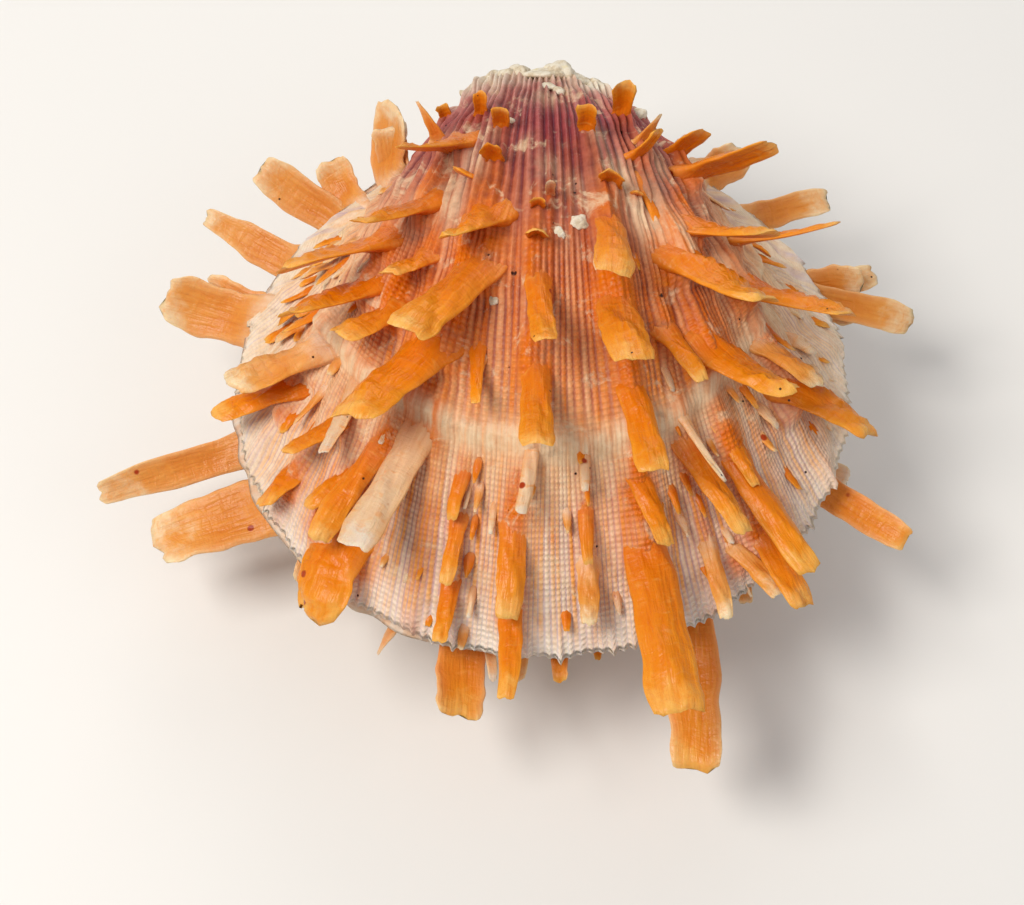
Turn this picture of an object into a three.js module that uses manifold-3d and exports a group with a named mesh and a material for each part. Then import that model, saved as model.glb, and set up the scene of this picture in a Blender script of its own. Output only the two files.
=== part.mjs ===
// Spiny oyster: a closed pair of valves with the spines that grew on their ribs.
//
// Millimetres, +Z up. The origin is the middle of the flat scar by which the lower valve was
// cemented to rock, so the shell rests on Z = 0. The beaks are towards +Y and the free margin
// is towards -Y. Each valve grew as one piece with its spines, so it is one solid.

import * as THREE from 'three';
import { mergeVertices } from 'three/addons/utils/BufferGeometryUtils.js';
import Module from 'manifold-3d';

const wasm = await Module();
wasm.setup();

// ---- Driving dimensions -------------------------------------------------------------------

const SHELL_LENGTH = 98;          // beak to the middle of the free margin
const HINGE_Y = 34;               // the straight hinge line lies on Y = HINGE_Y ...
const SEAM_Z = 30;                // ... and on the plane where the two valves meet
const SEAM_GAP = 0.3;             // clearance between the two closed valves
const RIB_STEPS = 30;             // grid of each valve: across the ribs ...
const GROWTH_STEPS = 14;          // ... and from the beak to the margin

// A valve grows by turning about the hinge while it gets larger. turn is the whole turn in
// radians, early the share of it spent evenly, fan the exponent that sets how fast the outline
// narrows away from the middle rib, ear half the hinge line, and flatten scales the height.
const UPPER = { side: 1, turn: 2.5, early: 0.45, fan: 1.1, ear: 17, skew: -0.02, flatten: 0.85 };
const LOWER = { side: -1, turn: 2.3, early: 0.55, fan: 0.86, ear: 24, skew: -0.05, flatten: 0.9 };

// The cavity in each valve is a shallow bowl with an oval mouth on the seam plane, and mouth is
// how far the cutting shape runs on past that plane.
const CAVITY = { centreY: -17, halfWidth: 42, halfLength: 43, mouth: 2, steps: 6, around: 24 };
const UPPER_CAVITY_DEPTH = 23;
const LOWER_CAVITY_DEPTH = 21;

// Spines are flattened, slightly tapered blades with a rounded-off tip.
const SPINE_SIDES = 6;
const SPINE_STEPS = 2;
const SPINE_THICKNESS = 0.45;     // of the width
const SPINE_TAPER = 0.7;          // tip width as a share of the root width
const SPINE_ROOT = 2.5;           // how deep a spine is set into the shell wall
const SPINE_DROOP = 0.06;         // sag of the tip as a share of the length

// ---- Spines, rib by rib -------------------------------------------------------------------
// A rib is named by its angle in degrees from the middle of the fan, positive towards +X.
// Each spine is [growth share from beak to margin, length, width, rise, heading]: rise is the
// angle above level, and heading is 0 straight towards the free margin, 90 towards +X.

const UPPER_SPINES = {
  '-38': [[0.83, 16, 6, 8, -58], [0.90, 14, 4, 5, -70]],
  '-31': [[0.62, 21, 5, 25, -57], [0.68, 17, 4, 20, -52], [0.94, 10, 3, 5, -38]],
  '-27': [[0.44, 9, 2, 50, -125], [0.79, 14, 2.5, 5, -20], [0.83, 12, 3, 0, -54]],
  '-24': [[0.55, 18, 3.5, 35, -47], [0.68, 12, 4, 15, -50], [0.88, 9, 2.5, -5, -53], [0.96, 9, 3, 3, -27]],
  '-21': [[0.45, 17, 2.5, 40, -46], [0.61, 10, 3, 30, -43], [0.84, 17, 3, -5, -34]],
  '-16': [[0.70, 22, 7, 12, -36], [0.79, 24, 5.5, 0, -24]],
  '-12': [[0.41, 6, 3, 60, -40], [0.47, 5, 3, 60, -90], [0.50, 6, 2, 50, -75], [0.55, 14, 4, 35, -34],
    [0.61, 22, 6, 20, -33]],
  '-10': [[0.69, 11, 2, 8, 0], [0.82, 7, 2, -10, -15], [0.87, 10, 2, -10, -12], [0.94, 10, 2.5, -5, -10]],
  '-4': [[0.86, 15, 4, -15, -4], [0.95, 17, 4, 4, -2]],
  '-2': [[0.53, 5, 2.5, 60, 0], [0.57, 6, 3, 58, 0], [0.61, 20, 3.5, 23, 4], [0.70, 20, 4.5, 17, 1],
    [0.77, 13, 2, -5, -9]],
  '4': [[0.79, 6, 2, -5, 0], [0.85, 8, 2.5, -15, 2], [0.91, 9, 3.5, -10, 0]],
  '10': [[0.41, 5, 2.5, 60, 0], [0.50, 6, 4, 60, 0], [0.55, 18, 4.5, 30, 2], [0.64, 18, 6, 25, 8],
    [0.72, 19, 4, 5, 11], [0.82, 13, 3, -5, 20], [0.88, 34, 8, 0, 7]],
  '17': [[0.69, 11, 3, 12, 30], [0.78, 13, 1.5, 0, 31], [0.82, 17, 3.5, 0, 29], [0.93, 13, 2.5, -5, 13]],
  '20': [[0.51, 14, 2, -10, 19], [0.96, 11, 2.5, 6, 40]],
  '23': [[0.40, 5, 3, 50, 160], [0.45, 7, 2.5, 45, 140], [0.62, 20, 6.5, 20, 42], [0.73, 18, 5.5, 15, 48],
    [0.83, 10, 2.5, -5, 25], [0.86, 23, 4, -5, 30], [0.96, 16, 4, 6, 27]],
  '27': [[0.59, 17, 4, 30, 61]],
  '35': [[0.47, 8, 3.5, 45, 109], [0.52, 18, 5, 40, 84], [0.71, 20, 5.5, 15, 62], [0.80, 12, 4, 10, 47],
    [0.87, 17, 6.5, 5, 55]],
  '41': [[0.67, 19, 2, 25, 88]],
};

const LOWER_SPINES = {
  '-80': [[0.95, 13, 10, 35, -130]],
  '-68': [[0.80, 20, 6, 15, -122]],
  '-62': [[0.90, 20, 6, 10, -120]],
  '-55': [[0.93, 14, 7, 5, -118], [0.97, 17, 8.5, 0, -110]],
  '-40': [[0.93, 29, 6, -2, -72]],
  '-33': [[0.94, 23, 9.5, -8, -75]],
  '-23': [[0.90, 14, 8.5, -5, -16]],
  '-15': [[0.96, 8, 2, -5, -29]],
  '-9': [[0.96, 14, 8, -5, 1]],
  '-6': [[0.97, 7, 2, -5, 7]],
  '1': [[0.98, 6, 3, -5, 0]],
  '5': [[0.93, 6, 2, -5, 2]],
  '15': [[0.96, 28, 8, -8, 0]],
  '34': [[0.90, 11, 4.5, -3, 83], [0.97, 19, 5, -8, 57]],
  '57': [[0.93, 15, 4, 5, 106], [0.94, 20, 5, 0, 75]],
  '69': [[0.90, 16, 5, 10, 102]],
  '80': [[0.95, 9, 6, 20, 120]],
};

// Rows of short spines on the underside, out of reach of the scar: one ring per growth share.
const UNDER_RINGS = [
  { grow: 0.78, ribs: [-60, -36, -12, 12, 36, 60], length: 9, width: 4, rise: -25 },
  { grow: 0.88, ribs: [-48, -28, -3, 22, 46], length: 11, width: 4, rise: -18 },
];

// ---- Growth formula -----------------------------------------------------------------------

function valvePoint(valve, ribDegrees, grow, turned = true) {
  const rib = THREE.MathUtils.degToRad(ribDegrees);
  const across = Math.sin(rib);
  const along = Math.max(Math.cos(rib), 0);
  const fan = SHELL_LENGTH * along ** valve.fan * (1 + valve.skew * across);
  const ear = valve.ear * across ** 6;
  const reach = grow * Math.hypot(fan, ear);
  const left = 1 - grow;
  const angle = turned ? valve.turn * (valve.early * left + (1 - valve.early) * left ** 2) : 0;
  return new THREE.Vector3(
    reach * across,
    HINGE_Y - reach * along * Math.cos(angle),
    SEAM_Z + valve.side * (SEAM_GAP / 2 + reach * along * Math.sin(angle) * valve.flatten),
  );
}

// Position, outward normal and growth direction at one place on a valve.
function valveFrame(valve, rib, grow) {
  const step = 0.004;
  const point = valvePoint(valve, rib, grow);
  const growth = valvePoint(valve, rib, grow + step).sub(valvePoint(valve, rib, grow - step)).normalize();
  const side = valvePoint(valve, rib + 1, grow).sub(valvePoint(valve, rib - 1, grow)).normalize();
  const normal = new THREE.Vector3().crossVectors(growth, side).multiplyScalar(valve.side).normalize();
  return { point, growth, normal };
}

// ---- Solids -------------------------------------------------------------------------------

function toSolid(geometry) {
  geometry.deleteAttribute('normal');
  geometry.deleteAttribute('uv');
  const merged = mergeVertices(geometry, 1e-3);
  const index = merged.index.array;
  const triangles = [];
  for (let i = 0; i < index.length; i += 3) {
    const corners = [index[i], index[i + 1], index[i + 2]];
    if (new Set(corners).size === 3) triangles.push(...corners);
  }
  return new wasm.Manifold(new wasm.Mesh({
    numProp: 3,
    vertProperties: new Float32Array(merged.attributes.position.array),
    triVerts: new Uint32Array(triangles),
  }));
}

function toMesh(solid, name, material) {
  const { vertProperties, triVerts } = solid.getMesh();
  const geometry = new THREE.BufferGeometry();
  geometry.setAttribute('position', new THREE.BufferAttribute(vertProperties, 3));
  geometry.setIndex(new THREE.BufferAttribute(triVerts, 1));
  geometry.computeVertexNormals();
  const mesh = new THREE.Mesh(geometry, material);
  mesh.name = name;
  return mesh;
}

// One sheet of a valve: the domed outside, or the flat lid on the seam plane that closes it.
function valveSheet(valve, turned) {
  const sheet = new THREE.PlaneGeometry(1, 1, RIB_STEPS, GROWTH_STEPS);
  const position = sheet.attributes.position;
  for (let i = 0; i < position.count; i += 1) {
    const rib = 180 * position.getX(i);
    const grow = position.getY(i) + 0.5;
    const point = valvePoint(valve, rib, grow, turned);
    position.setXYZ(i, point.x, point.y, point.z);
  }
  return sheet;
}

// The two sheets share their edges, so together they are one closed skin.
function valveSkin(valve) {
  const outside = valveSheet(valve, true);
  const lid = valveSheet(valve, false);
  const offset = outside.attributes.position.count;
  const positions = [...outside.attributes.position.array, ...lid.attributes.position.array];
  const outsideIndex = Array.from(outside.index.array);
  const lidIndex = Array.from(lid.index.array, (i) => i + offset).reverse();
  const index = [...outsideIndex, ...lidIndex];
  const skin = new THREE.BufferGeometry();
  skin.setAttribute('position', new THREE.Float32BufferAttribute(positions, 3));
  // The grid faces out on the valve that hangs below the seam and in on the one above it.
  skin.setIndex(valve.side > 0 ? index.reverse() : index);
  return toSolid(skin);
}

function cavity(valve, depth) {
  const profile = [new THREE.Vector2(0, -CAVITY.mouth), new THREE.Vector2(1, -CAVITY.mouth)];
  for (let i = 0; i <= CAVITY.steps; i += 1) {
    const share = 1 - i / CAVITY.steps;
    profile.push(new THREE.Vector2(share, depth * (1 - share ** 2)));
  }
  const bowl = new THREE.LatheGeometry(profile, CAVITY.around);
  bowl.scale(CAVITY.halfWidth, 1, CAVITY.halfLength);
  bowl.rotateX(valve.side * Math.PI / 2);
  bowl.translate(0, CAVITY.centreY, SEAM_Z);
  return toSolid(bowl);
}

function spine(valve, rib, [grow, length, width, rise, heading]) {
  const { point, growth, normal } = valveFrame(valve, rib, grow);
  const level = Math.cos(THREE.MathUtils.degToRad(rise));
  const turn = THREE.MathUtils.degToRad(heading);
  const axis = new THREE.Vector3(
    level * Math.sin(turn),
    -level * Math.cos(turn),
    Math.sin(THREE.MathUtils.degToRad(rise)),
  );
  const back = normal.clone().sub(growth);
  const widthwise = new THREE.Vector3().crossVectors(axis, back).normalize();
  const backwards = new THREE.Vector3().crossVectors(widthwise, axis);
  const blade = new THREE.CylinderGeometry(
    SPINE_TAPER * width / 2, width / 2, length + SPINE_ROOT, SPINE_SIDES, SPINE_STEPS,
  );
  blade.scale(1, 1, SPINE_THICKNESS);
  blade.translate(0, (length - SPINE_ROOT) / 2, 0);
  const position = blade.attributes.position;
  for (let i = 0; i < position.count; i += 1) {
    const share = position.getY(i) / length;
    position.setZ(i, position.getZ(i) - SPINE_DROOP * length * share ** 2);
  }
  const root = point.addScaledVector(normal, -SPINE_THICKNESS * width / 4);
  blade.applyMatrix4(new THREE.Matrix4().makeBasis(widthwise, axis, backwards).setPosition(root));
  return toSolid(blade);
}

function spines(valve, table) {
  return Object.entries(table).flatMap(([rib, rows]) => rows.map((row) => spine(valve, Number(rib), row)));
}

function underSpines() {
  return UNDER_RINGS.flatMap(({ grow, ribs, length, width, rise }) => (
    ribs.map((rib) => spine(LOWER, rib, [grow, length, width, rise, rib]))
  ));
}

// Everything on one side of a level plane, wide enough for the whole shell.
function slab(bottom, height) {
  const reach = 3 * SHELL_LENGTH;
  const box = new THREE.BoxGeometry(reach, reach, height);
  box.translate(0, 0, bottom + height / 2);
  return toSolid(box);
}

function upperValve() {
  const solid = spines(UPPER, UPPER_SPINES).reduce((sum, blade) => sum.add(blade), valveSkin(UPPER));
  return solid
    .subtract(cavity(UPPER, UPPER_CAVITY_DEPTH))
    .intersect(slab(SEAM_Z + SEAM_GAP / 2, SHELL_LENGTH));
}

function lowerValve() {
  const blades = [...spines(LOWER, LOWER_SPINES), ...underSpines()];
  const solid = blades.reduce((sum, blade) => sum.add(blade), valveSkin(LOWER));
  return solid
    .subtract(cavity(LOWER, LOWER_CAVITY_DEPTH))
    .intersect(slab(0, SHELL_LENGTH));
}

// ---- The shell ----------------------------------------------------------------------------

const upperMaterial = new THREE.MeshStandardMaterial({ color: '#e08a3c', roughness: 0.45, metalness: 0 });
const lowerMaterial = new THREE.MeshStandardMaterial({ color: '#eab68c', roughness: 0.5, metalness: 0 });

const group = new THREE.Group();
group.add(toMesh(upperValve(), 'upper_valve', upperMaterial));
group.add(toMesh(lowerValve(), 'lower_valve', lowerMaterial));

export default group;
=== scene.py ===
"""Spiny oyster shell: a closed pair of valves with the spines that grew on their ribs.

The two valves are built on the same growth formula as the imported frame, then given their ribs,
riblets, growth step, frilled margin, channelled spines and waxy calcite finishes.
"""
import math
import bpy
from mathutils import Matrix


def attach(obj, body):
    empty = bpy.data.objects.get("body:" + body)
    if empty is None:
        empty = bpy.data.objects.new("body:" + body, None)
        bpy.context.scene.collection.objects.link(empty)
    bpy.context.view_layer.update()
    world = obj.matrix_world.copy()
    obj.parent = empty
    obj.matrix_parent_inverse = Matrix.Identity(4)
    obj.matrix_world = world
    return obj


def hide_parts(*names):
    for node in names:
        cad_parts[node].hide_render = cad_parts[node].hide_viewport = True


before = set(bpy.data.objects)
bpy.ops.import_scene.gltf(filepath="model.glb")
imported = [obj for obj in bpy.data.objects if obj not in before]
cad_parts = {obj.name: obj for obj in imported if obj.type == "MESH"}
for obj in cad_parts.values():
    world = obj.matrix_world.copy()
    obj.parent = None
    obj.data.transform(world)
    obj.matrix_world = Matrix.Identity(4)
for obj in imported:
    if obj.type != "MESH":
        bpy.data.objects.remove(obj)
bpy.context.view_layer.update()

from types import SimpleNamespace

import bmesh
import bpy
import numpy as np
from bpy.props import FloatProperty, FloatVectorProperty, IntProperty, PointerProperty

bl_info = {
    "name": "Spiny Oyster Shell",
    "version": (1, 0, 0),
    "blender": (4, 5, 0),
    "location": "3D View > Sidebar > Shell",
    "description": "Builds a closed spiny oyster shell with its spines, and a small studio for it",
    "category": "Add Mesh",
}

MM = 0.001

# ---- Growth of the two valves (millimetres and degrees) -------------------------------------

SHELL_LENGTH = 98.0
HINGE_Y = 34.0
SEAM_Z = 30.0
SEAM_GAP = 0.3

# side is +1 above the seam and -1 below it. A valve turns about the hinge while it gets larger.
UPPER = SimpleNamespace(side=1, turn=2.5, early=0.45, fan=1.1, ear=17.0, skew=-0.02, flatten=0.85)
LOWER = SimpleNamespace(side=-1, turn=2.3, early=0.55, fan=0.86, ear=24.0, skew=-0.05, flatten=0.9)

CAVITY_CENTRE_Y = -17.0
CAVITY_DEPTH = {1: 23.0, -1: 21.0}
BOWL_SHARES = (0.96, 0.9, 0.8, 0.66, 0.5, 0.33, 0.16)     # rings of the bowl, as shares of its mouth

RIM_DROP = 2.2                    # how far the edge of the lower valve's rim stays below the seam
RIM_WANDER = 0.4                  # unevenness of the lower valve's outline

# The rim slopes up and inwards to the seam: share of the outline, depth below the seam and height
# of the riblets on it.
LOWER_LIP = (
    (0.99, 1.7, 0.14), (0.98, 1.25, 0.22), (0.97, 1.0, 0.16), (0.96, 0.8, 0.24), (0.95, 0.55, 0.18),
    (0.94, 0.45, 0.22), (0.93, 0.3, 0.14), (0.91, 0.15, 0.1), (0.89, 0.05, 0.05), (0.79, 0.0, 0.0),
)

FLARE = 0.86                      # share of the way that the upper margin flares to the lower outline
OVERHANG = 0.8                    # how far it stands out besides, in front
LOWER_GRID = (560, 70)            # grid of the lower valve: across the ribs and along them
GROWTH_STEP = 0.775               # growth share where the shell paused and left a lip

# Growth shares of the upper valve's growth lines and of the lower valve's leafy frills.
UPPER_LINES = (0.40, 0.47, 0.53, 0.58, 0.63, 0.67, 0.72, 0.82, 0.85, 0.885, 0.92, 0.95, 0.975)
LOWER_FRILLS = (0.45, 0.55, 0.63, 0.70, 0.76, 0.82, 0.87, 0.92, 0.96)

OLD_RIBLET_PITCH = 2.0            # degrees; new riblets start between the old ones as the valve widens
YOUNGER_RIBLETS = ((0.50, 0.62), (0.73, 0.80))      # growth shares over which each new set comes in
BEAD_PITCH = 0.62                 # millimetres from bead to bead along a riblet
SUNK_CRUST = 0.3                  # millimetres that a crust sits in the wall

# Ribs that carry spines: angle, and how far the rib stands up in millimetres.
SPINE_RIBS = (
    (-55, 0.7), (-46, 0.7), (-38, 0.9), (-31, 1.1), (-25, 1.2), (-20, 1.0), (-13.5, 1.2),
    (-10, 0.5), (-3, 0.7), (4, 0.4), (10, 0.9), (17, 0.8), (22, 1.1), (28, 0.9), (35, 1.0),
    (42, 0.9), (50, 0.7),
)

# Worn lumps that square off the beak: rib angle, growth share, height and radius in millimetres.
SHOULDERS = (
    (-27, 0.26, 3.2, 5.5), (-12, 0.25, 1.0, 3.0), (4, 0.25, 1.2, 3.5), (24, 0.27, 1.4, 4.0),
    (-40, 0.34, 1.2, 4.0), (38, 0.34, 1.0, 4.0),
)

# Where the pigment is worn away: rib angle, growth share, strength and radius in millimetres.
WORN_PATCHES = (
    (-15, 0.47, 0.9, 2.6), (-19, 0.53, 0.8, 3.0), (-13, 0.42, 0.5, 1.6), (14, 0.49, 0.8, 3.0),
    (18, 0.55, 0.9, 3.6), (11, 0.43, 0.5, 1.8), (24, 0.60, 0.7, 3.5), (-27, 0.56, 0.7, 3.0),
    (0, 0.475, 0.5, 1.6), (-5, 0.44, 0.4, 1.2), (27, 0.48, 0.6, 2.6), (-24, 0.44, 0.5, 2.2),
    (-33, 0.66, 0.6, 4.0), (32, 0.66, 0.7, 4.0), (5, 0.50, 0.4, 1.6), (0, 0.35, 0.6, 2.0),
)

# Chalky lumps and crusts: rib angle, growth share, length, width and height in millimetres.
CRUSTS = (
    (5, 0.24, 8.0, 6.0, 2.1), (-1, 0.25, 7.0, 7.0, 1.0), (-11, 0.24, 6.0, 4.0, 1.7),
    (-21, 0.245, 5.0, 3.4, 1.1), (-16, 0.25, 5.0, 4.0, 0.9), (13, 0.25, 6.0, 4.4, 1.2),
    (20, 0.265, 4.0, 3.4, 0.9), (0, 0.31, 2.6, 3.2, 0.6), (3.5, 0.325, 2.4, 2.0, 0.7),
    (-34, 0.28, 1.8, 1.6, 1.6), (34, 0.35, 3.0, 2.4, 1.5), (-9, 0.4, 1.4, 1.2, 0.5),
    (8, 0.435, 2.0, 1.6, 0.7), (-3, 0.47, 1.4, 1.4, 0.4), (-4, 0.475, 1.6, 1.0, 0.4),
    (5.2, 0.545, 2.8, 3.0, 0.55), (1.5, 0.555, 2.0, 1.8, 0.4), (2.2, 0.56, 1.2, 1.0, 0.5),
    (-11, 0.6, 1.2, 1.4, 0.4), (-8.5, 0.63, 2.4, 1.8, 0.5), (13, 0.47, 1.2, 1.6, 0.4),
)

# ---- Spines, rib by rib ---------------------------------------------------------------------
# Rib angle: growth share, length, width, rise above level, heading from the free margin towards
# +X, tip width as a share of the root, and the colour: o orange, p peach, w pale.

UPPER_SPINES = {
    -38: (
        (0.36, 4, 2.4, 70, -130, 1, "o"), (0.83, 16, 8.8, 8, -58, 0.9, "p"),
        (0.90, 14, 5.8, 5, -70, 0.8, "o"),
    ),
    -31: (
        (0.62, 21, 7.6, 25, -57, 0.8, "o"), (0.68, 17, 7.6, 20, -52, 0.9, "o"),
        (0.94, 10, 5, 5, -38, 0.9, "o"),
    ),
    -27: (
        (0.44, 9, 3, 50, -125, 0.2, "p"), (0.79, 14, 3.6, 5, -20, 0.65, "w"),
        (0.83, 12, 5, 0, -54, 0.9, "o"),
    ),
    -24: (
        (0.55, 18, 5.8, 35, -47, 0.65, "o"), (0.68, 12, 6.4, 15, -50, 0.95, "o"),
        (0.88, 9, 3.8, -5, -53, 0.9, "o"), (0.96, 9, 4.2, 3, -27, 0.8, "o"),
    ),
    -22.5: ((0.95, 14.5, 12, -12, -20, 0.85, "o"),),
    -21: (
        (0.45, 17, 5.2, 40, -46, 0.3, "o"), (0.61, 10, 5.2, 30, -43, 0.9, "o"),
        (0.84, 17, 5, -5, -34, 0.9, "o"),
    ),
    -18: ((0.39, 5.5, 2.4, 80, -170, 1, "o"),),
    -16: ((0.70, 22, 10.2, 12, -36, 0.95, "o"), (0.79, 24, 6.6, 0, -24, 0.95, "w")),
    -14: ((0.50, 5, 2.6, 25, -105, 0.8, "o"),),
    -11: (
        (0.42, 5.8, 2.6, 85, -40, 1.35, "o"), (0.475, 5.5, 3.2, 76, -50, 1.2, "o"),
        (0.55, 14, 7, 35, -34, 0.55, "o"), (0.61, 22, 8.2, 20, -33, 0.95, "o"),
    ),
    -10: (
        (0.69, 11, 2.4, 8, 0, 0.7, "o"), (0.82, 7, 2.8, -10, -15, 0.8, "o"),
        (0.87, 10, 2.8, -10, -12, 0.9, "o"), (0.94, 10, 3, -5, -10, 0.9, "o"),
    ),
    -4: ((0.86, 15, 4.6, -15, -4, 0.95, "o"), (0.95, 17, 4, 4, -2, 0.8, "o")),
    -2: (
        (0.535, 4.5, 2.2, 78, 0, 1.3, "o"), (0.57, 6, 3, 70, 0, 1.2, "o"),
        (0.61, 20, 4.4, 23, 4, 0.9, "o"), (0.70, 20, 5, 17, 1, 1.1, "o"),
        (0.77, 13, 2.4, -5, -9, 0.95, "w"),
    ),
    0: ((0.52, 6, 1.6, 85, 0, 1, "w"),),
    4: (
        (0.79, 6, 2, -5, 0, 0.7, "w"), (0.85, 8, 2.6, -15, 2, 0.7, "o"),
        (0.91, 9, 3.6, -10, 0, 0.8, "p"),
    ),
    8.5: ((0.43, 6.8, 2.8, 85, 170, 1.4, "o"), (0.455, 4.5, 2.4, -20, 12, 0.7, "o")),
    10: (
        (0.55, 18, 5, 30, 2, 1.3, "o"), (0.64, 18, 7, 25, 8, 1.1, "o"),
        (0.72, 19, 5, 5, 11, 1.1, "o"), (0.82, 13, 4, -5, 20, 0.95, "o"),
        (0.895, 31, 8.2, 0, 8, 1.12, "o"),
    ),
    12: ((0.51, 5.5, 3.6, 75, 0, 1.15, "o"),),
    17: (
        (0.52, 3, 2, 60, 20, 1, "o"), (0.69, 11, 4.4, 12, 30, 0.65, "o"),
        (0.78, 13, 2, 0, 31, 0.55, "w"), (0.82, 17, 4.8, 0, 29, 0.9, "o"),
        (0.93, 13, 3.2, -5, 13, 0.8, "p"),
    ),
    20: (
        (0.39, 7.5, 3.4, 78, 150, 1.25, "o"), (0.47, 7, 2.8, 50, 120, 1.1, "o"),
        (0.51, 14, 3, -10, 19, 0.65, "o"), (0.96, 11, 3.6, 6, 40, 0.9, "p"),
    ),
    23: (
        (0.45, 7, 3, 45, 140, 0.3, "p"), (0.62, 20, 9.6, 20, 42, 0.8, "o"),
        (0.73, 18, 8.4, 15, 48, 0.7, "o"), (0.83, 10, 3.6, -5, 25, 0.55, "o"),
        (0.86, 23, 5.4, -5, 30, 0.95, "o"), (0.96, 16, 5.4, 6, 27, 0.95, "o"),
    ),
    27: ((0.59, 17, 6.8, 30, 61, 0.8, "o"),),
    35: (
        (0.47, 8, 4.6, 45, 109, 0.95, "o"), (0.52, 18, 5.8, 40, 84, 0.9, "o"),
        (0.71, 20, 8, 15, 62, 0.9, "o"), (0.80, 12, 5.6, 10, 47, 0.95, "p"),
        (0.87, 17, 8.8, 5, 55, 0.9, "o"),
    ),
    41: ((0.67, 19, 3.6, 25, 88, 0.7, "o"),),
}

LOWER_SPINES = {
    -80: ((0.95, 14, 8, 48, 168, 1.2, "p"), (0.88, 10, 6, 55, -170, 1.1, "p")),
    -74: ((0.93, 9, 6, 25, -150, 1.1, "p"),),
    -68: ((0.80, 20, 7.6, 15, -122, 0.9, "p"),),
    -62: ((0.90, 20, 7.4, 10, -120, 0.55, "p"),),
    -55: ((0.93, 14, 8.6, 5, -118, 0.9, "p"), (0.97, 17, 10, 0, -110, 0.95, "p")),
    -40: ((0.93, 29, 7, -2, -72, 0.7, "p"),),
    -33: ((0.94, 23, 10.8, -8, -75, 0.95, "p"),),
    -15: ((0.96, 8, 2.4, -5, -29, 0.3, "w"),),
    -9: ((0.96, 14, 7.6, -5, 1, 1.1, "o"),),
    -6: ((0.97, 7, 2.2, -5, 7, 0.65, "w"),),
    1: ((0.98, 6, 3, -5, 0, 0.9, "o"),),
    5: ((0.93, 6, 2, -5, 2, 0.7, "o"),),
    15: ((0.96, 28, 8, -8, 0, 1.1, "o"),),
    34: ((0.90, 11, 4.8, -3, 83, 0.9, "w"), (0.97, 19, 6.2, -8, 57, 0.8, "o")),
    57: (
        (0.93, 15, 5, 5, 106, 0.9, "p"), (0.935, 11, 9, 3, 90, 1.2, "p"),
        (0.94, 20, 6, 0, 75, 0.9, "p"),
    ),
    69: ((0.90, 16, 5.6, 10, 102, 0.9, "p"),),
    80: ((0.95, 9, 7.4, 20, 120, 0.95, "p"),),
}

# Rows of spines round the underside: growth share, rib angles, length, width and rise.
UNDER_RINGS = (
    (0.78, (-60, -36, -12, 12, 36, 60), 9, 4, -25),
    (0.88, (-48, -28, -3, 22, 46), 11, 4, -18),
)

TONES = {"o": 0.0, "p": 0.5, "w": 1.0}


def srgb(code):
    """Linear RGBA from an sRGB hex code."""
    channels = [int(code[i:i + 2], 16) / 255 for i in (0, 2, 4)]
    linear = [c / 12.92 if c <= 0.04045 else ((c + 0.055) / 1.055) ** 2.4 for c in channels]
    return (*linear, 1.0)


# ---- What a user would change ---------------------------------------------------------------

class ShellSizes(bpy.types.PropertyGroup):
    """Sizes of the relief and the spines."""

    riblet_height: FloatProperty(
        name="Riblet height", description="How far the fine riblets stand up, in millimetres",
        default=0.22, min=0.0, max=1.0)
    lip_height: FloatProperty(
        name="Lip height", description="Drop at the growth step, in millimetres",
        default=1.0, min=0.0, max=3.0)
    tooth_length: FloatProperty(
        name="Tooth length", description="Longest teeth of the free margin, in millimetres",
        default=2.0, min=0.0, max=5.0)
    wall_columns: IntProperty(
        name="Columns", description="Grid columns across the ribs of the upper valve", default=900, min=100)
    wall_rows: IntProperty(
        name="Rows", description="Grid rows from the beak to the margin", default=98, min=30)


class ShellColours(bpy.types.PropertyGroup):
    """Colours of the shell."""

    orange: FloatVectorProperty(
        name="Spine orange", description="Main colour of the spines", subtype="COLOR", size=4,
        default=srgb("D66A00"), min=0.0, max=1.0)
    peach: FloatVectorProperty(
        name="Peach", description="Colour of the paler spines of the lower valve", subtype="COLOR", size=4,
        default=srgb("DC964E"), min=0.0, max=1.0)
    cream: FloatVectorProperty(
        name="Cream", description="Unstained calcite", subtype="COLOR", size=4,
        default=srgb("E2C6A0"), min=0.0, max=1.0)
    floor: FloatVectorProperty(
        name="Floor", description="Studio floor", subtype="COLOR", size=4,
        default=srgb("E6E3DE"), min=0.0, max=1.0)


class StageSettings(bpy.types.PropertyGroup):
    """Where the camera stands."""

    elevation: FloatProperty(
        name="Elevation", description="Angle of the view above level", subtype="ANGLE",
        default=math.radians(60))
    distance: FloatProperty(
        name="Distance", description="From the camera to the shell", unit="LENGTH", default=0.41)
    lens: FloatProperty(name="Lens", description="Focal length in millimetres", default=85.0)


# ---- Growth formula -------------------------------------------------------------------------

def smooth(value, low, high):
    """0 below low, 1 above high, and a soft ramp between."""
    share = np.clip((value - low) / (high - low), 0, 1)
    return share * share * (3 - 2 * share)


def valve_points(valve, rib, grow):
    """Points of a valve's bare surface in millimetres, from rib angles and growth shares."""
    angle = np.radians(rib)
    across = np.sin(angle)
    along = np.maximum(np.cos(angle), 0)
    fan = SHELL_LENGTH * along ** valve.fan * (1 + valve.skew * across)
    reach = grow * np.hypot(fan, valve.ear * across ** 6)
    left = np.maximum(1 - grow, 0)
    turn = valve.turn * (valve.early * left + (1 - valve.early) * left ** 2)
    x = reach * across
    y = HINGE_Y - reach * along * np.cos(turn)
    z = SEAM_Z + valve.side * (SEAM_GAP / 2 + reach * along * np.sin(turn) * valve.flatten)
    return np.stack(np.broadcast_arrays(x, y, z), -1)


def unit(vectors):
    """Vectors of length one."""
    return vectors / np.maximum(np.linalg.norm(vectors, axis=-1, keepdims=True), 1e-9)


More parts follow.
